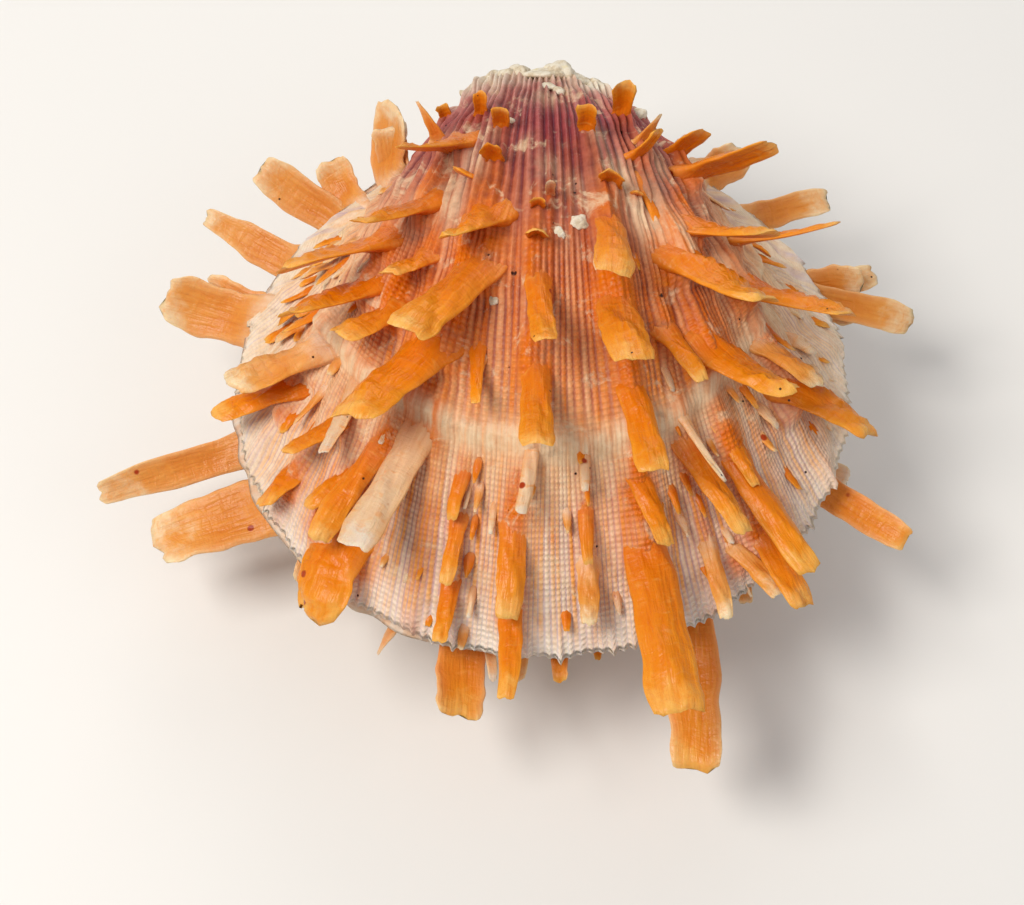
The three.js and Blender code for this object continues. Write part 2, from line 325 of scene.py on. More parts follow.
def valve_frame(valve, rib, grow):
    """Point, outward normal and growth direction on a valve's bare surface."""
    rib = np.clip(rib, -88.5, 88.5)
    grow = np.clip(grow, 0.02, 0.995)
    point = valve_points(valve, rib, grow)
    growth = unit(valve_points(valve, rib, grow + 0.004) - valve_points(valve, rib, grow - 0.004))
    side = unit(valve_points(valve, rib + 1, grow) - valve_points(valve, rib - 1, grow))
    normal = unit(np.cross(growth, side)) * valve.side
    return point, normal, growth


# ---- Relief ---------------------------------------------------------------------------------

def per_riblet(number, seed):
    """A share from 0 to 1 for each riblet by its number, the same on each run."""
    shares = np.random.default_rng(seed).uniform(size=1024)
    return shares[np.round(number).astype(int) % 1024]


def riblets(rib, grow):
    """The fine riblets: crest from 0 in a groove to 1, height factor, and share of pigment."""
    wavering = 0.3 * np.sin(grow * 9 + rib * 0.45) + 0.1 * np.sin(rib * 1.7 + grow * 4)
    number = (rib + wavering) / OLD_RIBLET_PITCH
    come = [smooth(grow, *span) for span in YOUNGER_RIBLETS]
    weights = (1 - come[0], come[0] * (1 - come[1]), come[1])
    crest, height, pigment = 0.5, 0.6, 0.0
    for generation, weight in enumerate(weights):
        count = number * 2 ** generation
        crest = crest + 0.5 * weight * np.cos(2 * np.pi * count)
        height = height + 0.8 * weight * per_riblet(count, 5 + generation)
        pigment = pigment + weight * per_riblet(count, 9 + generation)
    return crest, height, pigment


def step_place(rib):
    """Growth share of the growth step, which wanders a little from rib to rib."""
    return GROWTH_STEP + 0.008 * np.sin(rib * 0.13 + 1) + 0.004 * np.sin(rib * 0.47)


def spine_rib_height(rib, grow):
    """Height of the ribs that carry the spines."""
    total = np.zeros(np.broadcast(rib, grow).shape)
    for angle, height in SPINE_RIBS:
        total = total + height * np.exp(-((rib - angle) / 1.25) ** 2)
    return total * (0.35 + 0.65 * grow)


def spine_roots(table, rib, grow):
    """Fins on the ribs that lead up to each spine and stop just past it."""
    total = np.zeros(np.broadcast(rib, grow).shape)
    for angle, rows in table.items():
        for place, length, width, *_ in rows:
            run = (grow - place) * SHELL_LENGTH
            lateral = np.radians(rib - angle) * grow * SHELL_LENGTH
            lead = min(0.4 * length, 9) + 3
            ramp = smooth(run, -lead, 0.5) * (1 - smooth(run, 0.8, 3.0))
            fin = 0.30 * width * ramp * np.exp(-(lateral / (0.42 * width + 0.4)) ** 2)
            total = np.maximum(total, fin)
    return total


def lumps(table, rib, grow):
    """Rounded lumps on a valve's outside, from rows of rib angle, growth share, height and radius."""
    total = np.zeros(np.broadcast(rib, grow).shape)
    for angle, place, height, radius in table:
        lateral = np.radians(rib - angle) * place * SHELL_LENGTH
        run = (grow - place) * SHELL_LENGTH
        total = total + height * np.exp(-(lateral ** 2 + run ** 2) / radius ** 2)
    return total


def growth_lines(rib, grow, places, height, length):
    """Sum of small scarps, each rising slowly over a length and dropping at a growth share."""
    total = np.zeros(np.broadcast(rib, grow).shape)
    for place in places:
        run = grow - place - 0.004 * np.sin(rib * 0.3 + place * 40) - 0.002 * np.sin(rib * 1.1 + place * 90)
        total = total + height * smooth(run, -length, 0) * (1 - smooth(run, 0, 0.007))
    return total


def upper_relief(rib, grow, sizes):
    """Height of the upper valve's outside above its bare surface, in millimetres."""
    crest, tall, _ = riblets(rib, grow)
    fade = smooth(grow, 0.05, 0.3) * (1 - 0.8 * smooth(np.abs(rib), 70, 88))
    fine = sizes.riblet_height * tall * (crest - 0.5) * (2.6 - 1.6 * smooth(grow, 0.45, 0.75))
    fine = fine * (1 - smooth(np.abs(rib), 56, 64)) * (1 - 0.6 * smooth(grow, 0.95, 1.0))
    step = step_place(rib)
    rise = 0.6 * smooth(grow, step - 0.09, step)
    lip = sizes.lip_height * (rise - smooth(grow, step - 0.002, step + 0.006))
    lines = growth_lines(rib, grow, UPPER_LINES, 0.22, 0.03)
    bulge = 0.5 * np.cos(2 * np.pi * rib / 13.0 + 1.0) * smooth(grow, 0.2, 0.5)
    worn = 0.25 * np.sin(rib * 0.7 + 9 * np.sin(grow * 11)) * (1 - smooth(grow, 0.35, 0.5))
    flank = smooth(np.abs(rib), 22, 40) * smooth(grow, 0.35, 0.6)
    crumple = np.sin(rib * 1.15 + 2.5 * np.sin(grow * 21 + rib * 0.2))
    crumple = crumple + np.sin(grow * 75 + 3 * np.sin(rib * 0.33))
    ribbed = fine + lip + lines + bulge + worn + 0.28 * flank * crumple + spine_rib_height(rib, grow)
    return fade * ribbed + spine_roots(UPPER_SPINES, rib, grow) + lumps(SHOULDERS, rib, grow)


def margin_reach(rib, grow, sizes):
    """How far the free margin stands past the bare outline: a flare at the flanks, then teeth."""
    along = np.maximum(np.cos(np.radians(rib)), 0)
    flare = FLARE * SHELL_LENGTH * (along ** LOWER.fan - along ** UPPER.fan) * smooth(grow, 0.78, 1.0)
    fine = 1 - np.abs(np.sin(2 * np.pi * rib / OLD_RIBLET_PITCH))
    coarse = 0.5 + 0.5 * np.sin(rib * 0.9 + 2 * np.sin(rib * 0.21))
    uneven = per_riblet(2 * rib / OLD_RIBLET_PITCH, 12)
    teeth = sizes.tooth_length * (0.6 * fine * (0.3 + coarse * uneven) + 0.3 * coarse)
    teeth = teeth * smooth(grow, 0.955, 1.0)
    return flare + (teeth + OVERHANG * smooth(grow, 0.9, 1.0)) * (1 - smooth(np.abs(rib), 62, 82))


# ---- Mesh helpers ---------------------------------------------------------------------------

def coordinates(mesh):
    """Vertex positions of a mesh as an array."""
    flat = np.empty(len(mesh.vertices) * 3)
    mesh.vertices.foreach_get("co", flat)
    return flat.reshape(-1, 3)


def set_coordinates(mesh, points_mm):
    """Puts a mesh's vertices at positions given in millimetres."""
    mesh.vertices.foreach_set("co", (points_mm * MM).ravel())
    mesh.update()


def set_attribute(mesh, name, values):
    """Stores one vector per vertex for the materials to read."""
    layer = mesh.attributes.new(name, "FLOAT_VECTOR", "POINT")
    layer.data.foreach_set("vector", np.ascontiguousarray(values, dtype=np.float32).ravel())


def finish_piece(name, mesh, material, slot, *nodes):
    """Links a finished mesh as a piece of the shell that rides on the root body."""
    mesh.polygons.foreach_set("use_smooth", np.ones(len(mesh.polygons), dtype=bool))
    mesh.materials.append(material)
    piece = bpy.data.objects.new(name, mesh)
    bpy.context.collection.objects.link(piece)
    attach(piece, "root")
    if nodes:
        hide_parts(*nodes)
    return piece


# ---- Valve walls ----------------------------------------------------------------------------

def wall_grid(name, columns, rows):
    """A flat grid whose x and y, from -1 to 1, stand for the rib angle and the growth share."""
    bm = bmesh.new()
    bmesh.ops.create_grid(bm, x_segments=columns, y_segments=rows, size=1)
    mesh = bpy.data.meshes.new(name)
    bm.to_mesh(mesh)
    bm.free()
    flat = coordinates(mesh)
    rib = np.interp(flat[:, 0], (-1, -0.88, 0.88, 1), (-90, -59, 59, 90))
    grow = np.interp(flat[:, 1], (-1, -0.87, 1), (0, 0.16, 1))
    return mesh, rib, grow


def close_with_bowl(mesh, valve, lip):
    """Turns the open outside of a valve into a closed wall: its lip, then a bowl inside.

    The lip is rows of share of the outline, depth below the seam, and height of its riblets.
    """
    bm = bmesh.new()
    bm.from_mesh(mesh)
    bmesh.ops.remove_doubles(bm, verts=bm.verts, dist=1e-6)
    edges = [edge for edge in bm.edges if edge.is_boundary]
    centre_y = CAVITY_CENTRE_Y * MM
    seam = (SEAM_Z + valve.side * SEAM_GAP / 2) * MM
    mouth = lip[-1][0]
    rim = [(share, -depth, ridge) for share, depth, ridge in lip]
    bowl = [(mouth * share, valve.side * valve_depth(valve, share), None) for share in BOWL_SHARES]
    last = 1.0
    for share, height, ridge in (*rim, *bowl):
        made = bmesh.ops.extrude_edge_only(bm, edges=edges)["geom"]
        verts = [item for item in made if isinstance(item, bmesh.types.BMVert)]
        edges = [item for item in made if isinstance(item, bmesh.types.BMEdge)]
        for vert in verts:
            vert.co.x *= share / last
            vert.co.y = centre_y + (vert.co.y - centre_y) * share / last
            forward = HINGE_Y * MM - vert.co.y
            angle = math.degrees(math.atan2(vert.co.x, forward))
            away = min(1.0, max(0.0, forward / (12 * MM)))
            wave = 0.5 * math.cos(4 * math.pi * angle / OLD_RIBLET_PITCH)
            wave += math.sin(angle * 1.3 + share * 40)
            wave += 1.2 * math.sin(angle * 0.53 + share * 25)
            lift = height if ridge is None else min(ridge * wave + height, 0) * away
            vert.co.z = seam + lift * MM
        last = share
    bmesh.ops.holes_fill(bm, edges=edges)
    bmesh.ops.recalc_face_normals(bm, faces=bm.faces)
    bm.to_mesh(mesh)
    bm.free()


def valve_depth(valve, share):
    """Depth of the bowl inside a valve, in millimetres, at a share of its mouth's outline."""
    return CAVITY_DEPTH[valve.side] * (1 - share ** 2) * 0.95


def upper_wall(sizes):
    """The upper valve's wall with its riblets, ribs, growth step and toothed margin."""
    mesh, rib, grow = wall_grid("upper_valve_wall", sizes.wall_columns, sizes.wall_rows)
    _, normal, _ = valve_frame(UPPER, rib, grow)
    height = upper_relief(rib, grow, sizes)
    on_seam = (grow > 0.9999) | (np.abs(rib) > 89.9)
    height = np.where(on_seam, 0, height * (1 - smooth(np.abs(rib), 82, 90)))
    bare = valve_points(UPPER, rib, grow)
    outwards = unit((bare - (0, HINGE_Y, 0)) * (1, 1, 0))
    points = bare + outwards * margin_reach(rib, grow, sizes)[:, None] + normal * height[:, None]
    inland = (1 - grow) * SHELL_LENGTH * (1 - smooth(np.abs(rib), 84, 90))
    points[:, 2] = np.maximum(points[:, 2], SEAM_Z + SEAM_GAP / 2 + np.minimum(0.5 * inland, 0.9))
    set_coordinates(mesh, points)
    crest, _, pigment = riblets(rib, grow)
    rib_stain = np.clip(spine_rib_height(rib, grow), 0, 1)
    roots = np.clip(spine_roots(UPPER_SPINES, rib, grow), 0, 1)
    step = step_place(rib)
    band = smooth(grow, step - 0.03, step - 0.008) * (1 - smooth(grow, step + 0.002, step + 0.02))
    flank = smooth(np.abs(rib), 24, 44) * smooth(grow, 0.45, 0.65)
    orange = ((0.45 - 0.3 * flank) * rib_stain + roots) * (0.3 + 0.7 * smooth(grow, 0.42, 0.6))
    bare_part = np.maximum(np.maximum(band, 0.55 * flank), lumps(WORN_PATCHES, rib, grow))
    set_attribute(mesh, "growth", np.stack([rib, grow * SHELL_LENGTH, crest], -1))
    set_attribute(mesh, "stain", np.stack([orange, pigment - 0.4 * flank, bare_part], -1))
    close_with_bowl(mesh, UPPER, ((0.95, 0.0, 0.0), (0.9, 0.0, 0.0)))
    return mesh


def lower_relief(rib, grow, sizes):
    """Height of the lower valve's outside: riblets and leafy growth frills."""
    crest, tall, _ = riblets(rib, grow)
    frill = growth_lines(rib, grow, LOWER_FRILLS, 0.9, 0.03)
    fade = smooth(grow, 0.05, 0.3) * (1 - smooth(np.abs(rib), 75, 88))
    waves = 0.5 * np.cos(2 * np.pi * rib / 11.0) * smooth(grow, 0.3, 0.6)
    return fade * (sizes.riblet_height * tall * (crest - 0.5) + frill + waves)


def lower_wall(sizes):
    """The lower valve's wall: a frilled outside, the flat scar on the rock, and a wide rim."""
    mesh, rib, grow = wall_grid("lower_valve_wall", *LOWER_GRID)
    _, normal, _ = valve_frame(LOWER, rib, grow)
    height = np.where((grow > 0.9999) | (np.abs(rib) > 89.9), 0, lower_relief(rib, grow, sizes))
    bare = valve_points(LOWER, rib, grow)
    outwards = unit((bare - (0, HINGE_Y, 0)) * (1, 1, 0))
    ragged = RIM_WANDER * np.sin(rib * 0.9 + 2 * np.sin(rib * 0.31)) * smooth(grow, 0.93, 1.0)
    in_front = 1 - smooth(np.abs(rib), 70, 85)
    points = bare + outwards * (ragged * in_front)[:, None] + normal * height[:, None]
    rim_drop = RIM_DROP * smooth(grow, 0.9, 1.0) * in_front
    points[:, 2] = np.clip(points[:, 2], 0, SEAM_Z - SEAM_GAP / 2 - rim_drop)
    set_coordinates(mesh, points)
    crest, _, pigment = riblets(rib, grow)
    crest = crest + (0.7 - crest) * smooth(grow, 0.93, 1.0)
    set_attribute(mesh, "growth", np.stack([rib, grow * SHELL_LENGTH, crest], -1))
    set_attribute(mesh, "stain", np.stack([np.zeros_like(rib), pigment, np.zeros_like(rib)], -1))
    close_with_bowl(mesh, LOWER, LOWER_LIP)
    return mesh


# ---- Spines ---------------------------------------------------------------------------------

def blade_template(segments, stations):
    """A closed tube of unit radius along +Z from 0 to 1, with rings of vertices to shape."""
    bm = bmesh.new()
    bmesh.ops.create_cone(bm, cap_ends=True, segments=segments, radius1=1, radius2=1, depth=1)
    upright = [edge for edge in bm.edges if abs(edge.verts[0].co.z - edge.verts[1].co.z) > 0.5]
    bmesh.ops.subdivide_edges(bm, edges=upright, cuts=stations - 1)
    bmesh.ops.translate(bm, verts=bm.verts, vec=(0, 0, 0.5))
    mesh = bpy.data.meshes.new("blade_template")
    bm.to_mesh(mesh)
    bm.free()
    return mesh


def ripple(values, seed, waves=4):
    """Smooth noise of about -1 to 1 along one number, the same on each run."""
    dice = np.random.default_rng(seed)
    total = np.zeros_like(values)
    for order in range(1, waves + 1):
        total += np.sin(values * order * 1.7 + dice.uniform(0, 2 * np.pi)) / order
    return total / 1.6


def blade_line(valve, rib, row, along, dice):
    """The bent middle line of a spine and the directions along, across and above it."""
    grow, length, width, rise, heading, _, _ = row
    point, normal, growth = valve_frame(valve, float(rib), float(grow))
    lead = min(0.22 * length, 4.5) + 1.5
    level = math.cos(math.radians(rise))
    axis = np.array([
        level * math.sin(math.radians(heading)),
        -level * math.cos(math.radians(heading)),
        math.sin(math.radians(rise)),
    ])
    widthwise = unit(np.cross(axis, normal - growth))
    level_axis = unit(axis - normal * np.dot(axis, normal))
    up = np.cross(widthwise, axis)
    curl = dice.uniform(-0.03, 0.11) * length
    sway = dice.uniform(-0.08, 0.08) * length
    sunk = 0.42 * width + (1.5 if valve is LOWER else 0.3)
    corners = (
        point - unit(growth + 0.8 * level_axis) * lead - normal * sunk,
        point + normal * 0.15 * width,
        point + axis * 0.5 * length + up * (0.25 * width - curl) + widthwise * sway,
        point + axis * length + up * curl,
    )
    t = along[:, None]
    line = (
        corners[0] * (1 - t) ** 3 + 3 * corners[1] * (1 - t) ** 2 * t
        + 3 * corners[2] * (1 - t) * t ** 2 + corners[3] * t ** 3)
    tangent = unit(
        3 * (corners[1] - corners[0]) * (1 - t) ** 2 + 6 * (corners[2] - corners[1]) * (1 - t) * t
        + 3 * (corners[3] - corners[2]) * t ** 2)
    level_up = unit(np.cross(widthwise[None, :], tangent))
    level_side = unit(np.cross(tangent, level_up))
    twist = (math.radians(dice.uniform(-22, 22)) * smooth(along, 0.25, 1.0))[:, None]
    side = level_side * np.cos(twist) + level_up * np.sin(twist)
    above = level_up * np.cos(twist) - level_side * np.sin(twist)
    return line, tangent, side, above


def blade_points(valve, rib, row, flat, seed):
    """One spine's vertices, from the template's, with what its material needs to know."""
    _, length, width, rise, _, tip, tone = row
    dice = np.random.default_rng(seed)
    around = np.arctan2(flat[:, 1], flat[:, 0])
    along = flat[:, 2]
    across = np.cos(around)
    back_side = np.sin(around) >= -1e-6
    line, tangent, side, above = blade_line(valve, rib, row, along, dice)
    # A broad root that runs out on the rib, then the blade. Spines that widen outwards have slim roots.
    root = np.interp(tip, (0.5, 0.7, 1.0, 1.15), (1.9, 1.45, 1.2, 0.5)) if length > 8 else 1.1
    flare = np.interp(along, (0, 0.1, 0.25, 0.4, 0.7, 0.93, 1),
                      (0.4 * root, 0.85 * root, 0.5 + 0.5 * root, 0.95, 0.5 + 0.5 * tip, tip, 0.86 * tip))
    cup = 2.1 if length < 8 and rise > 60 else 1.0
    jagged = (0.16 if cup > 1 else 0.10) * ripple(along * 5 + 4 * np.sign(across), seed, 5)
    edge = 1 + jagged * smooth(along, 0.15, 0.5) * (1 - smooth(along, 0.88, 1.0))
    half = 0.5 * width * flare
    crown = cup * half * np.interp(along, (0, 0.15, 0.35, 0.8, 1), (0.5, 0.56, 0.62, 0.5, 0.34))
    thick = np.interp(along, (0, 0.3, 0.75, 0.97, 1), (0.5, 0.36, 0.24, 0.14, 0.02)) * half / cup
    thick = thick + 0.28 * (1 - smooth(along, 0.96, 1.0))
    channel = smooth(along, 0.22, 0.55)
    rounded = np.sqrt(np.clip(1 - across ** 2, 0, 1))
    arch = crown * (1 - across ** 2)
    # Lengthwise striae, and growth wrinkles that bow towards the tip.
    strand = across * (2.2 + width / 2.2) + 0.5 * ripple(along * 3, seed + 9)
    striae = 0.024 * width * ripple(strand, seed + 2, 5)
    wrinkle_pitch = max(2.1, length / 9)
    lamella = along * length / wrinkle_pitch + 0.5 * across ** 2 + 0.35 * ripple(along * 6, seed + 3)
    wrinkle = 0.07 * width * (lamella % 1.0 - 0.5)
    wrinkle = wrinkle * smooth(along, 0.2, 0.45) * (0.4 + 0.6 * smooth(along, 0.4, 0.8))
    lumpy = 0.08 * width * ripple(along * 6 + across * 1.5, seed + 7, 5)
    surface = (striae + wrinkle + lumpy) * (1 - smooth(along, 0.96, 1.0))
    top = arch + rounded * (0.25 * thick + surface)
    bottom = channel * arch - rounded * thick
    height = np.where(back_side, top, bottom)
    # Square tips are chipped into lobes; narrow ones are rounded off.
    blunt = 0.85 * half * np.clip(1.28 - tip, 0.15, 1) * (1 - rounded ** 0.8)
    lobes = (0.2 if cup > 1 else 0.08) * width * ripple(across * 2.2 + seed, seed + 5, 4)
    ragged = (lobes * (0.35 + 0.65 * rounded) - blunt) * smooth(along, 0.62, 1.0)
    points = (
        line + side * (across * half * edge)[:, None] + above * (height - 0.3 * arch)[:, None]
        + tangent * ragged[:, None])
    hollow = np.where(back_side, 0.0, channel * rounded)
    shade = np.full_like(along, TONES[tone] + dice.uniform(0.0, 0.07))
    blade = np.stack([across, along, shade], -1)
    grain = np.stack([across * half, along * length, hollow + 10 * (seed % 97)], -1)
    return points, blade, grain


def spine_list(valve, table, rings=()):
    """Every spine of a table, then those of the rings, as (valve, rib, row)."""
    rows = [(valve, rib, row) for rib, spines in table.items() for row in spines]
    for grow, ribs, length, width, rise in rings:
        rows += [(valve, rib, (grow, length, width, rise, rib, 0.7, "p")) for rib in ribs]
    return rows


def small_thorns(seed):
    """Low scales and thorns along the lesser ribs: small in front, larger and crowded on the flanks."""
    dice = np.random.default_rng(seed)
    rows = []
    for rib in np.arange(-58, 58, 2.4):
        flank = float(smooth(abs(rib), 22, 40))
        for grow in (0.60, 0.66, 0.71, 0.80, 0.84, 0.88, 0.92, 0.955, 0.99):
            wanted = (0.30 + 0.05 * flank) * (1.0 if grow > 0.76 else 0.28)
            if dice.uniform() > wanted:
                continue
            angle = rib + dice.uniform(-1, 1)
            place = min(0.995, grow + dice.uniform(-0.02, 0.015))
            length = dice.uniform(2.0, 4.0) + 4.0 * flank * dice.uniform()
            width = dice.uniform(1.0, 1.8) + 2.8 * flank * dice.uniform()
            tone = ("o", "o", "p", "w")[int(dice.integers(4))]
            rows.append((UPPER, angle, (place, length, width, dice.uniform(-18, 2), angle * 1.25,
                                        dice.uniform(0.3, 0.8), tone)))
    return rows


def spine_mesh(name, rows, first_seed):
    """All the given spines as one mesh."""
    templates = {True: blade_template(26, 34), False: blade_template(14, 10)}
    flats = {size: coordinates(template) for size, template in templates.items()}
    bm = bmesh.new()
    shaped = []
    for number, (valve, rib, row) in enumerate(rows):
        large = row[1] > 8
        bm.from_mesh(templates[large])
        shaped.append(blade_points(valve, rib, row, flats[large], first_seed + number))
    mesh = bpy.data.meshes.new(name)
    bm.to_mesh(mesh)
    bm.free()
    set_coordinates(mesh, np.concatenate([item[0] for item in shaped]))
    set_attribute(mesh, "blade", np.concatenate([item[1] for item in shaped]))
    set_attribute(mesh, "grain", np.concatenate([item[2] for item in shaped]))
    for template in templates.values():
        bpy.data.meshes.remove(template)
    bm = bmesh.new()
    bm.from_mesh(mesh)
    bmesh.ops.recalc_face_normals(bm, faces=bm.faces)
    bm.to_mesh(mesh)
    bm.free()
    return mesh


def crust_mesh(name, table, seed):
    """Flattened chalky lumps that sit half sunk in the upper valve."""
    dice = np.random.default_rng(seed)
    ball = bmesh.new()
    bmesh.ops.create_icosphere(ball, subdivisions=4, radius=1)
    template = bpy.data.meshes.new("lump_template")
    ball.to_mesh(template)
    ball.free()
    sphere = coordinates(template)
    bm = bmesh.new()
    shaped = []
    for rib, grow, length, width, height in table:
        bm.from_mesh(template)
        point, normal, growth = valve_frame(UPPER, float(rib), float(grow))
        side = np.cross(growth, normal)
        shift = dice.uniform(0, 9, 3)
        bumps = 1 + 0.20 * np.sin(sphere[:, 0] * 3 + shift[0]) * np.sin(sphere[:, 1] * 4 + shift[1])
        bumps += 0.06 * np.sin(sphere[:, 0] * 9 + shift[2]) * np.sin(sphere[:, 1] * 8 + shift[0])
        bumps += 0.02 * np.sin(sphere[:, 1] * 21 + shift[1]) * np.sin(sphere[:, 0] * 19 + shift[2])
        lump = sphere * bumps[:, None]
        raised = float(lumps(SHOULDERS, rib, grow)) + 0.2
        shaped.append(
            point + normal * (raised - SUNK_CRUST) + np.outer(lump[:, 0] * width / 2, side)
            + np.outer(lump[:, 1] * length / 2, growth) + np.outer(lump[:, 2] * height, normal))
    mesh = bpy.data.meshes.new(name)
    bm.to_mesh(mesh)
    bm.free()
    bpy.data.meshes.remove(template)
    set_coordinates(mesh, np.concatenate(shaped))
    return mesh


# ---- Materials ------------------------------------------------------------------------------

def add(tree, kind, inputs=None, stops=None, **settings):
    """Adds one shader node: settings are its attributes, inputs are values, sockets or nodes.

    A node given as an input stands for its first output in use. Stops fill a colour ramp with
    places and colours, each colour a hex code or already linear.
    """
    made = tree.nodes.new("ShaderNode" + kind)
    for name, value in settings.items():
        setattr(made, name, value)
    for key, value in (inputs or {}).items():
        if isinstance(value, bpy.types.Node):
            value = next(output for output in value.outputs if output.enabled)
        if isinstance(value, bpy.types.NodeSocket):
            tree.links.new(value, made.inputs[key])
        else:
            made.inputs[key].default_value = value
    if stops:
        elements = made.color_ramp.elements
        while len(elements) < len(stops):
            elements.new(1.0)
        for element, (place, colour) in zip(elements, stops):
            element.position = place
            element.color = srgb(colour) if isinstance(colour, str) else colour
    return made


def lay_over(tree, colour, *coats, **settings):
    """Lays coats over a colour, one after the other: each is a mask and the colour it lets through."""
    for mask, coat in coats:
        # A colour mix has its factor, lower colour and upper colour at inputs 0, 6 and 7.
        colour = add(tree, "Mix", {0: mask, 6: colour, 7: coat}, data_type="RGBA", **settings)
    return colour


def new_material(name):
    """An empty node material and its node tree."""
    material = bpy.data.materials.new(name)
    material.use_nodes = True
    material.node_tree.nodes.clear()
    return material, material.node_tree


def finish_material(material, look):
    """Gives a material its shader, with the look as the shader's inputs, and returns the material."""
    shader = add(material.node_tree, "BsdfPrincipled", look)
    add(material.node_tree, "OutputMaterial", {"Surface": shader})
    return material


def speckle(tree, place, spacing, radius, share):
    """Mask of round spots of a radius in millimetres, about a spacing apart, on a share of the cells."""
    cells = add(tree, "TexVoronoi", {"Vector": place, "Scale": 1 / (spacing * MM), "Randomness": 1.0})
    edge = radius / spacing
    spot = add(tree, "MapRange", {
        "Value": cells.outputs["Distance"], "From Min": edge, "From Max": 0.7 * edge})
    chosen = add(tree, "SeparateColor", {0: cells.outputs["Color"]})
    kept = add(tree, "Math", {0: chosen, 1: share}, operation="LESS_THAN")
    return add(tree, "Math", {0: spot, 1: kept}, operation="MULTIPLY")


def clouds(tree, place, *kinds):
    """Soft random patterns, each from its size in millimetres, detail, roughness and distortion."""
    return [
        add(tree, "TexNoise", {
            "Vector": place, "Scale": 1 / (size * MM), "Detail": detail, "Roughness": roughness,
            "Distortion": distortion})
        for size, detail, roughness, distortion in kinds]


